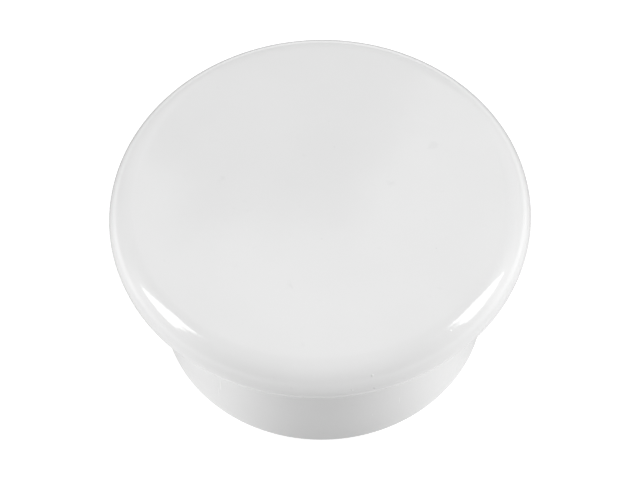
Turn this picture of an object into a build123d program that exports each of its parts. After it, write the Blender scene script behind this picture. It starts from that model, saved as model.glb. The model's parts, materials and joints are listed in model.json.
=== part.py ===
from build123d import *

import os
from math import asin, cos, degrees, radians, tan

# Push-in pipe cap: a round, slightly crowned head on a hollow spigot that slides into the end
# of a pipe. An O-ring in a groove under the head seals against the pipe's bore.
#
# Frame: millimetres, +Z up along the cap's axis, origin at the centre of the spigot's open end.

# Driving dimensions of the head
head_diameter = 50.0  # covers a pipe of 48.3 outside
crown_radius = 470.0  # the top face is a very flat dome
rim_top_radius = 3.3
rim_land = 0.2  # straight band at the widest place, where the mould parts
rim_bottom_radius = 2.4
top_plate = 3.2  # thickness of the top on the axis

# Driving dimensions of the spigot
spigot_diameter = 40.0  # slides into a bore of 40.9
spigot_length = 17.5
spigot_wall = 3.2
lead_in_radius = 0.6
mouth_chamfer = 0.5
core_draft = 1.0  # degrees, so that the cap leaves its mould's core
core_corner_radius = 1.4

# O-ring, a 36.17 x 2.62 ring stretched a little over its groove
cord_diameter = 2.62
groove_depth = 1.7
groove_width = 3.6
groove_below_stop = 2.0  # land between the head's underside and the groove
groove_corner_radius = 0.4

# Webs and mould marks inside
gusset_count = 6
gusset_thickness = 1.3
gusset_height = 6.0
gusset_reach = 3.6  # in from the bore's wall, along the top plate
ejector_pad_count = 3
ejector_pad_radius = 2.0
ejector_pad_circle = 8.0  # radius that the pads' centres lie on
ejector_pad_rise = 0.15
gate_radius = 1.1
gate_rise = 0.5

# Worked-out places
head_radius = head_diameter / 2
spigot_radius = spigot_diameter / 2
stop_z = spigot_length
rim_bottom_z = stop_z + rim_bottom_radius
rim_top_z = rim_bottom_z + rim_land
rim_centre_radius = head_radius - rim_top_radius
crown_half_angle = asin(rim_centre_radius / (crown_radius - rim_top_radius))  # tangent to the rim
crown_centre_z = rim_top_z - (crown_radius - rim_top_radius) * cos(crown_half_angle)
top_z = crown_centre_z + crown_radius
plate_z = top_z - top_plate
bore_radius = spigot_radius - spigot_wall
bore_top_radius = bore_radius - plate_z * tan(radians(core_draft))
groove_z = stop_z - groove_below_stop - groove_width / 2
groove_radius = spigot_radius - groove_depth


def turned_outline():
    """Half section of the head and spigot, solid, before the core is taken out."""
    with BuildSketch(Plane.XZ) as outline:
        with BuildLine():
            crown_turn = degrees(crown_half_angle)
            CenterArc((0, crown_centre_z), crown_radius, 90, -crown_turn)
            CenterArc((rim_centre_radius, rim_top_z), rim_top_radius, 90 - crown_turn, crown_turn - 90)
            Line((head_radius, rim_top_z), (head_radius, rim_bottom_z))
            bottom_rim_centre = (head_radius - rim_bottom_radius, rim_bottom_z)
            CenterArc(bottom_rim_centre, rim_bottom_radius, 0, -90)
            Line((head_radius - rim_bottom_radius, stop_z), (spigot_radius, stop_z))
            Line((spigot_radius, stop_z), (spigot_radius, lead_in_radius))
            CenterArc((spigot_radius - lead_in_radius, lead_in_radius), lead_in_radius, 0, -90)
            Polyline((spigot_radius - lead_in_radius, 0), (0, 0), (0, top_z))
        make_face()
    return outline.sketch


def core_outline():
    """Half section of the drafted hollow, with its rounded inner corner and chamfered mouth."""
    with BuildSketch(Plane.XZ) as core:
        with BuildLine():
            Polyline(
                (0, 0),
                (bore_radius + mouth_chamfer, 0),
                (bore_radius, mouth_chamfer),
                (bore_top_radius, plate_z),
                (0, plate_z),
                close=True,
            )
        make_face()
        inner_corner = core.vertices().group_by(Axis.Y)[-1].sort_by(Axis.X)[-1]
        fillet(inner_corner, core_corner_radius)
    return core.sketch


def groove_outline():
    """Half section of the O-ring groove, with rounded bottom corners."""
    overshoot = 1.0  # so that the cut runs clear of the spigot's surface
    with BuildSketch(Plane.XZ) as groove:
        with Locations((groove_radius + (groove_depth + overshoot) / 2, groove_z)):
            Rectangle(groove_depth + overshoot, groove_width)
        fillet(groove.vertices().group_by(Axis.X)[0], groove_corner_radius)
    return groove.sketch


# A triangular web that stiffens the corner between the top plate and the bore's wall
with BuildPart() as gusset:
    buried = 0.8  # how far it runs into the wall and the plate, so that it fuses with both
    with BuildSketch(Plane.XZ):
        Polygon(
            (bore_top_radius - gusset_reach, plate_z),
            (bore_top_radius, plate_z - gusset_height),
            (bore_top_radius + buried, plate_z - gusset_height),
            (bore_top_radius + buried, plate_z + buried),
            (bore_top_radius - gusset_reach, plate_z + buried),
            align=None,
        )
    extrude(amount=gusset_thickness / 2, both=True)

# The one-piece plastic moulding: head, spigot, gussets and the marks its mould leaves inside
with BuildPart() as cap_body:
    add(turned_outline())
    revolve(axis=Axis.Z)
    add(core_outline())
    revolve(axis=Axis.Z, mode=Mode.SUBTRACT)
    add(groove_outline())
    revolve(axis=Axis.Z, mode=Mode.SUBTRACT)
    with PolarLocations(0, gusset_count):
        add(gusset.part)
    with BuildSketch(Plane.XY.offset(plate_z)):
        with PolarLocations(ejector_pad_circle, ejector_pad_count, 180 / gusset_count):
            Circle(ejector_pad_radius)
    extrude(amount=-ejector_pad_rise)
    with BuildSketch(Plane.XY.offset(plate_z)):
        Circle(gate_radius)
    extrude(amount=-gate_rise)

# The rubber O-ring, round in section, resting on the bottom of its groove
with BuildPart() as seal_ring:
    with BuildSketch(Plane.XZ):
        with Locations((groove_radius + cord_diameter / 2, groove_z)):
            Circle(cord_diameter / 2)
    revolve(axis=Axis.Z)

cap_body.part.label = "cap_body"
seal_ring.part.label = "seal_ring"

os.makedirs("parts", exist_ok=True)
for piece in (cap_body.part, seal_ring.part):
    export_step(piece, f"parts/{piece.label}.step")

print("height", round(top_z, 3), "stop", stop_z, "groove", round(groove_z, 3), "plate", round(plate_z, 3))
print("bore radius at the plate", round(bore_top_radius, 3))
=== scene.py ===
"""A push-in pipe cap: a glossy white moulding on a hollow spigot, and the O-ring that seals it.

Everything is in metres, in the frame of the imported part: +Z up, with the origin at the centre of the
spigot's open end, where the cap stands on the floor.
"""

import json
from math import asin, cos, degrees, hypot, pi, radians, sin, tan

import bmesh
import bpy
from mathutils import Matrix, Vector


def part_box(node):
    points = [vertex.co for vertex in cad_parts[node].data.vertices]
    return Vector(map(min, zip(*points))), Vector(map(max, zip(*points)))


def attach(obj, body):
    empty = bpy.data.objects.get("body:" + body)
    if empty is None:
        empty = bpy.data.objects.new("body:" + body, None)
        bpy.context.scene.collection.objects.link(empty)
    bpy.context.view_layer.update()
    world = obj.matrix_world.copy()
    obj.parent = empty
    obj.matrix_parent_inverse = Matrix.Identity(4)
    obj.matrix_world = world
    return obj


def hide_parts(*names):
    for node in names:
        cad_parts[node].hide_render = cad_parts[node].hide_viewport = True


MM = 0.001
MICRON = 0.001 * MM

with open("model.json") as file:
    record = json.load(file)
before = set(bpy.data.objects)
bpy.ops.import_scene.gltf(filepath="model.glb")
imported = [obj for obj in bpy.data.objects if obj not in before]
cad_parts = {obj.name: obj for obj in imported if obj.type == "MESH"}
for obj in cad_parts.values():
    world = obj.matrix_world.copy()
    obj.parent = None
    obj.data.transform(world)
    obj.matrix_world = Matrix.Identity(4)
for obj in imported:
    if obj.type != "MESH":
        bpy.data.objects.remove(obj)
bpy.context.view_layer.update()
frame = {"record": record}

# ---------------------------------------------------------------------------------------------
# Sizes, taken from the frame where it holds them
# ---------------------------------------------------------------------------------------------
mounts = {mount["name"]: mount for mount in frame["record"]["mounts"]}
body_low, body_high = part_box("cap_body")
ring_low, ring_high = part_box("seal_ring")

head_radius = body_high.x
top_z = body_high.z
stop_z = mounts["head_seat"]["pos_m"][2]
spigot_radius = mounts["spigot"]["dims"]["r_mm"] * MM

crown_radius = 470 * MM
rim_top_radius = 3.3 * MM
rim_land = 0.2 * MM
rim_bottom_radius = 2.4 * MM
root_radius = 0.25 * MM  # the small fillet where the spigot meets the head
parting_step = 0.03 * MM  # the mould's lower half is this much smaller, which leaves a fine witness line
lead_in_radius = 0.6 * MM

spigot_wall = 3.2 * MM
mouth_chamfer = 0.5 * MM
core_draft = radians(1)
core_corner_radius = 1.4 * MM
plate_z = top_z - 3.2 * MM
bore_radius = spigot_radius - spigot_wall
bore_top_radius = bore_radius - plate_z * tan(core_draft)

cord_radius = (ring_high.z - ring_low.z) / 2
groove_z = (ring_high.z + ring_low.z) / 2
ring_radius = ring_high.x - cord_radius
groove_half_width = 1.8 * MM
groove_floor_radius = ring_radius - cord_radius
groove_corner_radius = 0.4 * MM
groove_lip_radius = 0.15 * MM

flash_height = 0.05 * MM  # the moulding flash along the O-ring's inner and outer edge
flash_half_angle = 2.5  # in degrees of the cord's section

gusset_count = 6
gusset_thickness = 1.3 * MM
gusset_height = 6 * MM
gusset_reach = 3.6 * MM
ejector_pad_count = 3
ejector_pad_radius = 2 * MM
ejector_pad_circle = 8 * MM
ejector_pad_rise = 0.15 * MM
gate_radius = 1.1 * MM
gate_rise = 0.5 * MM

# How finely the meshes are cut, and the angle above which an edge stays sharp
cap_segments = 384
ring_segments = 256
boss_segments = 48
sharp_angle = radians(35)

# Rubbed marks on the crown: x, y and radius in millimetres
rubbed_marks = ((13.7, 6.4, 0.9), (8.4, 1.2, 0.8), (-11.4, 2.8, 0.7), (-3.7, -12.5, 0.5))


# ---------------------------------------------------------------------------------------------
# Mesh building
# ---------------------------------------------------------------------------------------------
def arc(centre_r, centre_z, radius, start, end, steps):
    """Points of an arc in the (r, z) half plane. Angles are in degrees from +r towards +z."""
    points = []
    for step in range(steps + 1):
        angle = radians(start + (end - start) * step / steps)
        points.append((centre_r + radius * cos(angle), centre_z + radius * sin(angle)))
    return points


def line(start, end, steps):
    """Points along a straight stretch, with its start left out."""
    points = []
    for step in range(1, steps + 1):
        share = step / steps
        points.append((start[0] + (end[0] - start[0]) * share, start[1] + (end[1] - start[1]) * share))
    return points


def without_repeats(profile):
    """The profile with each point that repeats the one before it left out."""
    smallest_gap = 0.1 * MICRON
    kept = [profile[0]]
    for point in profile[1:]:
        if hypot(point[0] - kept[-1][0], point[1] - kept[-1][1]) > smallest_gap:
            kept.append(point)
    return kept


def lathe(name, profile, segments, closed=False):
    """A mesh turned about Z from (r, z) points. A point on the axis becomes a single pole.

    With closed set, the profile's last point is joined to its first.
    """
    on_axis = 0.001 * MICRON
    mesh = bmesh.new()
    rings = []
    for radius, height in profile:
        if radius < on_axis:
            rings.append([mesh.verts.new((0, 0, height))])
            continue
        ring = []
        for segment in range(segments):
            angle = 2 * pi * segment / segments
            ring.append(mesh.verts.new((radius * cos(angle), radius * sin(angle), height)))
        rings.append(ring)
    pairs = list(zip(rings, rings[1:]))
    if closed:
        pairs.append((rings[-1], rings[0]))
    for upper, lower in pairs:
        for segment in range(segments):
            after = (segment + 1) % segments
            if len(upper) == 1:
                mesh.faces.new((upper[0], lower[segment], lower[after]))
            elif len(lower) == 1:
                mesh.faces.new((upper[segment], lower[0], upper[after]))
            else:
                mesh.faces.new((upper[segment], lower[segment], lower[after], upper[after]))
    bmesh.ops.recalc_face_normals(mesh, faces=mesh.faces)
    return finished(name, mesh)


def finished(name, mesh):
    """Turns a bmesh into a linked object with smooth faces."""
    data = bpy.data.meshes.new(name)
    mesh.to_mesh(data)
    mesh.free()
    data.shade_smooth()
    made = bpy.data.objects.new(name, data)
    bpy.context.scene.collection.objects.link(made)
    return made


def head_profile():
    """Half section of the head, from the crown's centre round the rim to the root of the spigot."""
    rim_bottom_z = stop_z + rim_bottom_radius
    rim_top_z = rim_bottom_z + rim_land
    rim_centre = head_radius - rim_top_radius
    crown_turn = degrees(asin(rim_centre / (crown_radius - rim_top_radius)))
    crown_centre_z = top_z - crown_radius
    points = arc(0, crown_centre_z, crown_radius, 90, 90 - crown_turn, steps=40)
    points += arc(rim_centre, rim_top_z, rim_top_radius, 90 - crown_turn, 0, steps=36)
    parting_z = rim_bottom_z + rim_land / 2
    points += [(head_radius, parting_z), (head_radius - parting_step, parting_z - parting_step)]
    lower_centre = head_radius - parting_step - rim_bottom_radius
    points += arc(lower_centre, rim_bottom_z, rim_bottom_radius, 0, -90, steps=24)
    points += line(points[-1], (spigot_radius + root_radius, stop_z), steps=5)
    points += arc(spigot_radius + root_radius, stop_z - root_radius, root_radius, 90, 180, steps=5)
    return points


def groove_profile():
    """Half section of the O-ring's groove from the top down, with its rounded lips and corners."""
    groove_top = groove_z + groove_half_width
    groove_bottom = groove_z - groove_half_width
    lip_centre = spigot_radius - groove_lip_radius
    corner_centre = groove_floor_radius + groove_corner_radius
    upper_corner_z = groove_top - groove_corner_radius
    lower_corner_z = groove_bottom + groove_corner_radius
    points = arc(lip_centre, groove_top + groove_lip_radius, groove_lip_radius, 0, -90, steps=3)
    points += arc(corner_centre, upper_corner_z, groove_corner_radius, 90, 180, steps=4)
    points += arc(corner_centre, lower_corner_z, groove_corner_radius, 180, 270, steps=4)
    points += arc(lip_centre, groove_bottom - groove_lip_radius, groove_lip_radius, 90, 0, steps=3)
    return points


def outer_profile():
    """Half section of everything that isn't the hollow, from the crown's centre down to the base."""
    points = head_profile()
    groove = groove_profile()
    points += line(points[-1], groove[0], steps=3)
    points += groove
    points += line(points[-1], (spigot_radius, lead_in_radius), steps=24)
    points += arc(spigot_radius - lead_in_radius, lead_in_radius, lead_in_radius, 0, -90, steps=8)
    return points


def hollow_profile():
    """Half section of the drafted hollow, from its mouth up to the middle of the top plate."""
    points = [(bore_radius + mouth_chamfer, 0), (bore_radius, mouth_chamfer)]
    corner_r = bore_top_radius - core_corner_radius
    corner_z = plate_z - core_corner_radius
    points += line(points[-1], (bore_top_radius, corner_z), steps=12)
    points += arc(corner_r, corner_z, core_corner_radius, 0, 90, steps=8)
    points += line(points[-1], (0, plate_z), steps=8)
    return points


def gusset_mesh(mesh, angle):
    """One triangular web, buried a little in the wall and the plate."""
    buried = 0.8 * MM
    outline = (
        (bore_top_radius - gusset_reach, plate_z),
        (bore_top_radius, plate_z - gusset_height),
        (bore_top_radius + buried, plate_z - gusset_height),
        (bore_top_radius + buried, plate_z + buried),
        (bore_top_radius - gusset_reach, plate_z + buried),
    )
    turn = Matrix.Rotation(angle, 4, "Z")
    sides = []
    for offset in (-gusset_thickness / 2, gusset_thickness / 2):
        sides.append([mesh.verts.new(turn @ Vector((r, offset, z))) for r, z in outline])
    mesh.faces.new(sides[0])
    mesh.faces.new(list(reversed(sides[1])))
    for index in range(len(outline)):
        after = (index + 1) % len(outline)
        mesh.faces.new((sides[0][after], sides[0][index], sides[1][index], sides[1][after]))


def disc_mesh(mesh, centre, radius, rise):
    """A short round boss hanging from the top plate, buried in it."""
    buried = 0.5 * MM
    turned = Matrix.Translation((centre[0], centre[1], plate_z + (buried - rise) / 2))
    bmesh.ops.create_cone(
        mesh,
        cap_ends=True,
        segments=boss_segments,
        radius1=radius,
        radius2=radius,
        depth=rise + buried,
        matrix=turned,
    )


def inner_details():
    """The gussets, ejector pads and gate mark, as one mesh of closed solids."""
    mesh = bmesh.new()
    for index in range(gusset_count):
        gusset_mesh(mesh, 2 * pi * index / gusset_count)
    for index in range(ejector_pad_count):
        angle = 2 * pi * index / ejector_pad_count + pi / gusset_count
        centre = (ejector_pad_circle * cos(angle), ejector_pad_circle * sin(angle))
        disc_mesh(mesh, centre, ejector_pad_radius, ejector_pad_rise)
    disc_mesh(mesh, (0, 0), gate_radius, gate_rise)
    bmesh.ops.recalc_face_normals(mesh, faces=mesh.faces)
    return finished("inner_details", mesh)


def fuse(target, tool):
    """Unites tool with target for good, and removes tool."""
    union = target.modifiers.new("union", "BOOLEAN")
    union.operation = "UNION"
    union.solver = "EXACT"
    union.object = tool
    evaluated = target.evaluated_get(bpy.context.evaluated_depsgraph_get())
    joined = bpy.data.meshes.new_from_object(evaluated)
    target.modifiers.clear()
    target.data = joined
    bpy.data.objects.remove(tool)


def make_moulding():
    """The cap's single white moulding, polished outside and satin where the mould's core shaped it."""
    profile = without_repeats(outer_profile() + hollow_profile())
    moulding = lathe("cap_moulding", profile, cap_segments)
    fuse(moulding, inner_details())
    mesh = moulding.data
    mesh.shade_smooth()
    mesh.set_sharp_from_angle(angle=sharp_angle)
    mesh.materials.clear()
    mesh.materials.append(gloss_white())
    mesh.materials.append(satin_white())
    mouth_radius = bore_radius + mouth_chamfer
    just_above_plate = plate_z + 0.01 * MM
    for polygon in mesh.polygons:
        centre = polygon.center
        inside = hypot(centre.x, centre.y) < mouth_radius and centre.z < just_above_plate
        polygon.material_index = 1 if inside else 0
    return moulding


def make_seal_ring():
    """The O-ring, resting on the groove's floor, with the fine flash that its mould leaves."""
    flash_reach = cord_radius + flash_height
    section = []
    for start in (0, 180):
        first = start + flash_half_angle
        last = start + 180 - flash_half_angle
        section.append((ring_radius + flash_reach * cos(radians(start)), groove_z))
        section += arc(ring_radius, groove_z, cord_radius, first, last, steps=22)
    ring = lathe("o_ring", section, ring_segments, closed=True)
    ring.data.materials.append(black_rubber())
    return ring


# ---------------------------------------------------------------------------------------------
# Materials
# ---------------------------------------------------------------------------------------------
def add_node(tree, kind, inputs=None, **settings):
    """Adds a node with its settings. Each input is a value or the socket that feeds it."""
    node = tree.nodes.new(kind)
    for name, value in settings.items():
        setattr(node, name, value)
    for key, value in (inputs or {}).items():
        if isinstance(value, bpy.types.NodeSocket):
            tree.links.new(value, node.inputs[key])
        else:
            node.inputs[key].default_value = value
    return node


def maths(tree, operation, first, second=0.0):
    """The result of one sum on two numbers or sockets."""
    return add_node(tree, "ShaderNodeMath", {0: first, 1: second}, operation=operation).outputs[0]


def product(tree, first, *others):
    """The product of some numbers or sockets."""
    for other in others:
        first = maths(tree, "MULTIPLY", first, other)
    return first


def changed(tree, value, mask, by):
    """The value, changed by this much where the mask is 1."""
    return maths(tree, "ADD", value, product(tree, mask, by))


def vector_maths(tree, operation, first, second=(0, 0, 0)):
    """The result of one sum on two vectors. It is a number if the operation measures something."""
    node = add_node(tree, "ShaderNodeVectorMath", {0: first, 1: second}, operation=operation)
    measures = operation in ("LENGTH", "DISTANCE", "DOT_PRODUCT")
    return node.outputs["Value" if measures else "Vector"]


def ramp(tree, value, low, high, to_low=0.0, to_high=1.0):
    """The value eased from to_low, at low, to to_high, at high."""
    inputs = {"Value": value, "From Min": low, "From Max": high, "To Min": to_low, "To Max": to_high}
    return add_node(tree, "ShaderNodeMapRange", inputs, interpolation_type="SMOOTHSTEP").outputs[0]


def stretched(tree, place, factors, turn=(0, 0, 0)):
    """Coordinates turned and then scaled by a factor along each axis."""
    inputs = {"Vector": place, "Rotation": turn}
    turned = add_node(tree, "ShaderNodeMapping", inputs).outputs[0]
    return add_node(tree, "ShaderNodeMapping", {"Vector": turned, "Scale": factors}).outputs[0]


def noise(tree, place, feature, detail=2.0, output="Fac"):
    """Soft noise, about 0.5 on average, whose features are about this size."""
    inputs = {"Vector": place, "Scale": 1 / feature, "Detail": detail}
    return add_node(tree, "ShaderNodeTexNoise", inputs).outputs[output]


def drift(tree, place, feature, lowest, highest, detail=2.0):
    """A value that drifts between two limits, which it reaches where the noise is 0.3 and 0.7."""
    return ramp(tree, noise(tree, place, feature, detail), 0.3, 0.7, lowest, highest)


def specks(tree, place, spacing, radius, share):
    """Round specks, 1 at their middle, in this share of the cells of an irregular grid."""
    cells = add_node(tree, "ShaderNodeTexVoronoi", {"Vector": place, "Scale": 1 / spacing})
    reach = radius / spacing
    spot = ramp(tree, cells.outputs["Distance"], 0.3 * reach, reach, to_low=1, to_high=0)
    draw = add_node(tree, "ShaderNodeSeparateColor", {"Color": cells.outputs["Color"]}).outputs[0]
    return product(tree, spot, maths(tree, "LESS_THAN", draw, share))


def hairlines(tree, place, angle, width, length, density):
    """Fine straight scratches at an angle in degrees. A higher density leaves more of them."""
    along = stretched(tree, place, (1 / length, 1 / width, 1 / length), (0, 0, radians(angle)))
    streaks = noise(tree, along, feature=1, detail=0)
    return ramp(tree, streaks, low=0.74 - density, high=0.80 - density)


def bump(tree, height, distance, normal=None):
    """Raises the surface by height times distance, in metres."""
    inputs = {"Height": height, "Distance": distance}
    if normal is not None:
        inputs["Normal"] = normal
    return add_node(tree, "ShaderNodeBump", inputs).outputs[0]


def grey(tree, value):
    """A neutral colour of this brightness."""
    return add_node(tree, "ShaderNodeCombineColor", {0: value, 1: value, 2: value}).outputs[0]


def new_material(name):
    """A material with its node tree, its shader and the piece's own coordinates."""
    material = bpy.data.materials.new(name)
    material.use_nodes = True
    tree = material.node_tree
    place = add_node(tree, "ShaderNodeTexCoord").outputs["Object"]
    return material, tree, tree.nodes["Principled BSDF"], place


def distance_from_axis(tree, place):
    """How far a point is from the cap's axis."""
    return vector_maths(tree, "LENGTH", vector_maths(tree, "MULTIPLY", place, (1, 1, 0)))


def height_above_base(tree, place):
    """How far a point is above the spigot's open end."""
    return add_node(tree, "ShaderNodeSeparateXYZ", {0: place}).outputs["Z"]


def handling_marks(tree, place):
    """1 in the few grey rubbed marks on the crown, with ragged edges."""
    raggedness = 2.2 * MM
    shift = noise(tree, place, 0.9 * MM, detail=3, output="Color")
    shift = vector_maths(tree, "SUBTRACT", shift, (0.5, 0.5, 0.5))
    shift = vector_maths(tree, "MULTIPLY", shift, (raggedness, raggedness, raggedness))
    moved = vector_maths(tree, "ADD", place, shift)
    marks = 0.0
    for x, y, radius in rubbed_marks:
        away = vector_maths(tree, "DISTANCE", moved, (x * MM, y * MM, top_z))
        mark = ramp(tree, away, 0.3 * radius * MM, radius * MM, to_low=1, to_high=0)
        marks = maths(tree, "MAXIMUM", mark, marks)
    return marks


def scuff_marks(tree, place):
    """1 along hairline scratches in two directions, which lie only in worn patches."""
    one_way = hairlines(tree, place, angle=24, width=0.07 * MM, length=4 * MM, density=0.03)
    other_way = hairlines(tree, place, angle=-58, width=0.06 * MM, length=3 * MM, density=0.02)
    worn_patches = ramp(tree, noise(tree, place, 9 * MM), low=0.5, high=0.66)
    return product(tree, maths(tree, "MAXIMUM", one_way, other_way), worn_patches)


def smudge_marks(tree, place):
    """1 in small cloudy marks, which lie in loose groups."""
    clouds = ramp(tree, noise(tree, place, 1.1 * MM, detail=4), low=0.64, high=0.76)
    groups = ramp(tree, noise(tree, place, 6 * MM), low=0.48, high=0.6)
    return product(tree, clouds, groups)


def draw_lines(tree, place):
    """1 along the faint lines that the mould leaves down the spigot as the cap is pushed out."""
    upright = stretched(tree, place, (1, 1, 0.03))
    lines = ramp(tree, noise(tree, upright, 0.3 * MM, detail=3), low=0.5, high=0.72)
    on_spigot = maths(tree, "LESS_THAN", height_above_base(tree, place), stop_z)
    return product(tree, lines, on_spigot)


def rim_nicks(tree, place):
    """1 in tiny dents along the outside of the rim."""
    radius = distance_from_axis(tree, place)
    height = height_above_base(tree, place)
    dents = specks(tree, place, spacing=1.3 * MM, radius=0.17 * MM, share=0.3)
    far_out = ramp(tree, radius, head_radius - 1.6 * MM, head_radius - 0.9 * MM)
    high_up = ramp(tree, height, stop_z + 1.5 * MM, stop_z + 2.5 * MM)
    return product(tree, dents, far_out, high_up)


def gloss_white():
    """Polished white plastic: a faint orange peel, hairline scuffs, dust and nicks along the rim."""
    material, tree, shader, place = new_material("gloss_white")
    scuffs = scuff_marks(tree, place)
    smudges = smudge_marks(tree, place)
    lines = draw_lines(tree, place)
    dust = specks(tree, place, spacing=1.9 * MM, radius=0.11 * MM, share=0.08)

    shade = drift(tree, place, 12 * MM, lowest=0.755, highest=0.769)
    shade = changed(tree, shade, dust, by=-0.09)
    shade = changed(tree, shade, smudges, by=-0.022)
    shade = changed(tree, shade, handling_marks(tree, place), by=-0.028)
    tree.links.new(grey(tree, shade), shader.inputs["Base Color"])

    roughness = drift(tree, place, 4 * MM, lowest=0.07, highest=0.1, detail=3)
    roughness = changed(tree, roughness, scuffs, by=0.16)
    roughness = changed(tree, roughness, smudges, by=0.06)
    roughness = changed(tree, roughness, lines, by=0.12)
    tree.links.new(roughness, shader.inputs["Roughness"])

    peel = bump(tree, noise(tree, place, 1.4 * MM), 11 * MICRON)
    grain = bump(tree, noise(tree, place, 0.35 * MM), 1.6 * MICRON, peel)
    dented = bump(tree, rim_nicks(tree, place), 50 * MICRON, grain)
    scratched = bump(tree, scuffs, -1.2 * MICRON, dented)
    drawn = bump(tree, lines, -1.5 * MICRON, scratched)
    tree.links.new(drawn, shader.inputs["Normal"])
    shader.inputs["IOR"].default_value = 1.5
    return material


def turning_rings(tree, place):
    """Fine rings about the axis, on the plate that closes the hollow."""
    pitch = 0.4 * MM
    scale = pi / (10 * pitch)  # a wave texture of scale 1 has its rings pi / 10 apart
    wave = {"Vector": place, "Scale": scale}
    rings = add_node(tree, "ShaderNodeTexWave", wave, wave_type="RINGS", rings_direction="Z")
    height = height_above_base(tree, place)
    on_plate = ramp(tree, height, plate_z - 0.3 * MM, plate_z - 0.1 * MM)
    return product(tree, rings.outputs["Fac"], on_plate)


def satin_white():
    """The core side: spark-eroded grain, turning rings on the plate and drag lines down the wall."""
    material, tree, shader, place = new_material("satin_white")
    drag_lines = noise(tree, stretched(tree, place, (1, 1, 0.02)), 0.25 * MM, detail=3)
    grain = noise(tree, place, 0.12 * MM, detail=3)

    radius = distance_from_axis(tree, place)
    gate_halo = ramp(tree, radius, gate_radius, 5 * MM, to_low=0.7, to_high=0.74)
    clouds = drift(tree, place, 3 * MM, lowest=-0.012, highest=0.012, detail=3)
    tree.links.new(grey(tree, maths(tree, "ADD", gate_halo, clouds)), shader.inputs["Base Color"])

    roughness = ramp(tree, grain, low=0.35, high=0.65, to_low=0.34, to_high=0.46)
    tree.links.new(roughness, shader.inputs["Roughness"])

    turned = bump(tree, turning_rings(tree, place), 2.5 * MICRON)
    dragged = bump(tree, drag_lines, 3 * MICRON, turned)
    tree.links.new(bump(tree, grain, 4 * MICRON, dragged), shader.inputs["Normal"])
    shader.inputs["IOR"].default_value = 1.5
    return material


def black_rubber():
    """Moulded EPDM rubber: satin black with a grey bloom, a fine grain and a little white dust."""
    material, tree, shader, place = new_material("black_rubber")
    bloom = ramp(tree, noise(tree, place, 2.2 * MM, detail=4), low=0.42, high=0.68)
    dust = specks(tree, place, spacing=0.7 * MM, radius=0.07 * MM, share=0.25)
    grain = noise(tree, place, 0.16 * MM, detail=3)

    shade = ramp(tree, bloom, low=0, high=1, to_low=0.017, to_high=0.034)
    shade = changed(tree, shade, dust, by=0.12)
    tree.links.new(grey(tree, shade), shader.inputs["Base Color"])

    roughness = ramp(tree, bloom, low=0, high=1, to_low=0.42, to_high=0.6)
    tree.links.new(roughness, shader.inputs["Roughness"])
    tree.links.new(bump(tree, grain, 7 * MICRON), shader.inputs["Normal"])
    shader.inputs["IOR"].default_value = 1.52
    return material


# ---------------------------------------------------------------------------------------------
# The pieces
# ---------------------------------------------------------------------------------------------
moulding = make_moulding()
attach(moulding, "root")
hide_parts("cap_body")

ring = make_seal_ring()
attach(ring, "root")
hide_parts("seal_ring")


# ---------------------------------------------------------------------------------------------
# Floor, light and camera: settings, with angles in degrees
# ---------------------------------------------------------------------------------------------
white = (1, 1, 1, 1)
floor_radius = 6.0

# The floor as the camera sees it: how strongly it glows, its colour and its roughness
seen_glow = 0.75
seen_colour = (0.4, 0.4, 0.4, 1)
seen_roughness = 0.9

# The floor as it lights the cap: the colour that other light meets, and a glow of its own, which is
# painted light standing in for light off the floor. The glow changes from near to far between these
# distances from the axis, and its weaker level near the cap at the sides, diagonals and back is a
# painted shadow of the cap.
bounce_colour = (0.08, 0.08, 0.08, 1)
near_floor = 60 * MM
far_floor = 110 * MM

# For each part of the floor: how fast its glow fades to its sides, and how strong it is near and far
floor_light = {
    "front": (8, 0.65, 0.56),
    "diagonals": (2, 0.87, 1.45),
    "sides": (8, 0.5, 1.8),
    "back": (2, 0.2, 1.2),
}

# Azimuth, width, lower edge and upper edge of each softbox, as seen from the crown, and its radiance
softbox_distance = 3.0
softboxes = {
    "left_softbox": (-85, 20, 22.5, 55, 6),
    "left_softbox_foot": (-73.4, 3.2, 22.5, 40, 6),
    "right_softbox": (84.5, 22, 21.5, 54.5, 6.3),
    "right_softbox_foot": (70.7, 5.6, 21.5, 41, 6.3),
}

# Azimuth, elevation, sharpness and radiance of each soft panel of the world
world_panels = (
    (-88, 8, 20, 1.2),
    (88, 8, 20, 1.05),
    (-88, 35, 20, 1.5),
    (88, 35, 20, 1.6),
    (-64, 10, 12, 1.07),
    (64, 10, 12, 0.94),
    (-140, 35, 8, 0.72),
    (140, 35, 8, 0.88),
    (180, 60, 20, 0.66),
    (0, 75, 6, 0.46),
)

# The dark gap in the panels behind the cap. Each edge is a soft step between two angles: bearings
# from straight behind for its sides, and elevations for its bottom and top.
gap_left = (-13, -11)
gap_right = (40.5, 42.5)
gap_bottom = (12, 24)
gap_top = (56, 57.5)
gap_lean = 0.7  # how far the right edge draws in for each degree of elevation
gap_wobble = 8  # how far the edges wander, from end to end of the noise
gap_wobble_length = 1 / 24  # the size of one bend, in radians

camera_elevation = 55.34
camera_distance = 278.88 * MM
camera_aim = Vector((-0.09 * MM, -6.56 * MM, top_z))
camera_roll = -2.12
focal_length = 133.6  # in millimetres, as is the sensor's width
sensor_width = 36
near_clip = 10 * MM


# ---------------------------------------------------------------------------------------------
# Floor, light and camera: making them
# ---------------------------------------------------------------------------------------------
def toward(azimuth, elevation):
    """A unit vector to that bearing. Azimuth 0 is the front, -Y, and 90 is +X."""
    flat = cos(radians(elevation))
    x = flat * sin(radians(azimuth))
    y = -flat * cos(radians(azimuth))
    return Vector((x, y, sin(radians(elevation))))


def from_crown(azimuth, elevation, distance):
    """A point at that bearing and distance from the top of the crown."""
    return Vector((0, 0, top_z)) + distance * toward(azimuth, elevation)


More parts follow.
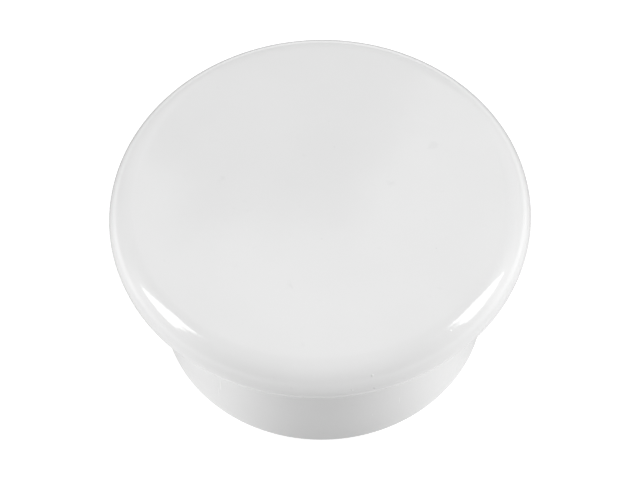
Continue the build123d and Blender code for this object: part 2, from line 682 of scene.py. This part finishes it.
def only_to_camera(tree, seen, lights, output):
    """Shows one shader to the camera, and lights the cap with another."""
    ray = add_node(tree, "ShaderNodeLightPath").outputs["Is Camera Ray"]
    switch = add_node(tree, "ShaderNodeMixShader", {0: ray, 1: lights, 2: seen}).outputs[0]
    tree.links.new(switch, tree.nodes[output].inputs["Surface"])


def floor_glow(tree, place):
    """How strongly each place on the floor glows, to light the cap from below: painted light off the
    floor, weaker near the cap except straight in front, as a painted shadow of the cap.
    """
    direction = vector_maths(tree, "NORMALIZE", place)
    parts = add_node(tree, "ShaderNodeSeparateXYZ", {0: direction}).outputs
    sideways = maths(tree, "ABSOLUTE", parts["X"])
    forward = maths(tree, "MAXIMUM", product(tree, parts["Y"], -1), 0)
    facing = {
        "front": forward,
        "diagonals": product(tree, sideways, forward, 2),
        "sides": sideways,
        "back": maths(tree, "MAXIMUM", parts["Y"], 0),
    }
    distance = distance_from_axis(tree, place)
    glow = 0.0
    for part, (fade, near, far) in floor_light.items():
        level = ramp(tree, distance, near_floor, far_floor, near, far)
        share = maths(tree, "POWER", facing[part], fade)
        glow = maths(tree, "ADD", product(tree, share, level), glow)
    return glow


def make_floor():
    """A wide floor, near white to the camera, which lights the cap with a glow that isn't even: painted
    light, with a painted shadow of the cap close to it.
    """
    mesh = bmesh.new()
    bmesh.ops.create_circle(mesh, cap_ends=True, segments=96, radius=floor_radius)
    floor = finished("floor", mesh)
    material, tree, seen, place = new_material("floor_white")
    seen.inputs["Base Color"].default_value = seen_colour
    seen.inputs["Roughness"].default_value = seen_roughness
    seen.inputs["Specular IOR Level"].default_value = 0
    seen.inputs["Emission Color"].default_value = white
    seen.inputs["Emission Strength"].default_value = seen_glow
    glow = add_node(tree, "ShaderNodeEmission", {"Strength": floor_glow(tree, place)}).outputs[0]
    bounce = add_node(tree, "ShaderNodeBsdfDiffuse", {"Color": bounce_colour}).outputs[0]
    lights = add_node(tree, "ShaderNodeAddShader", {0: glow, 1: bounce}).outputs[0]
    only_to_camera(tree, seen.outputs[0], lights, "Material Output")
    floor.data.materials.append(material)


def make_softbox(name, azimuth, width, low, high, radiance):
    """An upright rectangular lamp that faces the cap from the side."""
    bottom = softbox_distance * tan(radians(low))
    top = softbox_distance * tan(radians(high))
    light = bpy.data.lights.new(name, "AREA")
    light.shape = "RECTANGLE"
    light.size = 2 * softbox_distance * tan(radians(width / 2))
    light.size_y = top - bottom
    light.energy = radiance * pi * light.size * light.size_y
    lamp = bpy.data.objects.new(name, light)
    lamp.location = from_crown(azimuth, 0, softbox_distance) + Vector((0, 0, (top + bottom) / 2))
    lamp.rotation_euler = (-toward(azimuth, 0)).to_track_quat("-Z", "Y").to_euler()
    bpy.context.scene.collection.objects.link(lamp)


def world_glow(tree, direction, azimuth, elevation, sharpness, radiance):
    """A soft round patch of light. A higher sharpness makes it smaller."""
    facing = vector_maths(tree, "DOT_PRODUCT", direction, toward(azimuth, elevation))
    falloff = product(tree, maths(tree, "SUBTRACT", facing, 1), sharpness)
    return product(tree, maths(tree, "EXPONENT", falloff), radiance)


def rise(tree, angle, limits):
    """A soft step from 0 to 1 between two angles."""
    start, end = limits
    return ramp(tree, angle, radians(start), radians(end))


def fall(tree, angle, limits):
    """A soft step from 1 to 0 between two angles."""
    return maths(tree, "SUBTRACT", 1, rise(tree, angle, limits))


def world_gap(tree, direction):
    """1 in the dark gap in the panels behind the cap, and 0 elsewhere. Its edges are uneven."""
    parts = add_node(tree, "ShaderNodeSeparateXYZ", {0: direction}).outputs
    wobble = noise(tree, direction, gap_wobble_length, detail=3)
    wobble = product(tree, maths(tree, "SUBTRACT", wobble, 0.5), radians(gap_wobble))
    bearing = maths(tree, "ADD", maths(tree, "ARCTAN2", parts["X"], parts["Y"]), wobble)
    elevation = maths(tree, "ADD", maths(tree, "ARCSINE", parts["Z"]), wobble)
    leaning = maths(tree, "ADD", bearing, product(tree, elevation, gap_lean))
    sides = product(tree, rise(tree, bearing, gap_left), fall(tree, leaning, gap_right))
    return product(tree, sides, rise(tree, elevation, gap_bottom), fall(tree, elevation, gap_top))


def make_world():
    """The studio around the cap: soft panels of light. The camera itself sees a plain white backdrop."""
    world = bpy.data.worlds.new("studio")
    bpy.context.scene.world = world
    world.use_nodes = True
    tree = world.node_tree
    direction = add_node(tree, "ShaderNodeTexCoord").outputs["Generated"]
    total = 0.0
    for panel in world_panels:
        total = maths(tree, "ADD", world_glow(tree, direction, *panel), total)
    total = product(tree, total, maths(tree, "SUBTRACT", 1, world_gap(tree, direction)))
    lights = add_node(tree, "ShaderNodeBackground", {"Color": white, "Strength": total}).outputs[0]
    seen = tree.nodes["Background"]
    seen.inputs["Color"].default_value = white
    only_to_camera(tree, seen.outputs[0], lights, "World Output")


def make_camera():
    """A long lens high in front of the cap, turned a little clockwise."""
    data = bpy.data.cameras.new("camera")
    data.sensor_width = sensor_width
    data.lens = focal_length
    data.clip_start = near_clip
    camera = bpy.data.objects.new("camera", data)
    bpy.context.scene.collection.objects.link(camera)
    camera.location = from_crown(0, camera_elevation, camera_distance)
    turn = (camera_aim - camera.location).to_track_quat("-Z", "Y").to_matrix()
    camera.rotation_euler = (turn @ Matrix.Rotation(radians(camera_roll), 3, "Z")).to_euler()
    bpy.context.scene.camera = camera


make_floor()
for name, settings in softboxes.items():
    make_softbox(name, *settings)
make_world()
make_camera()
bpy.context.scene.view_settings.view_transform = "Standard"
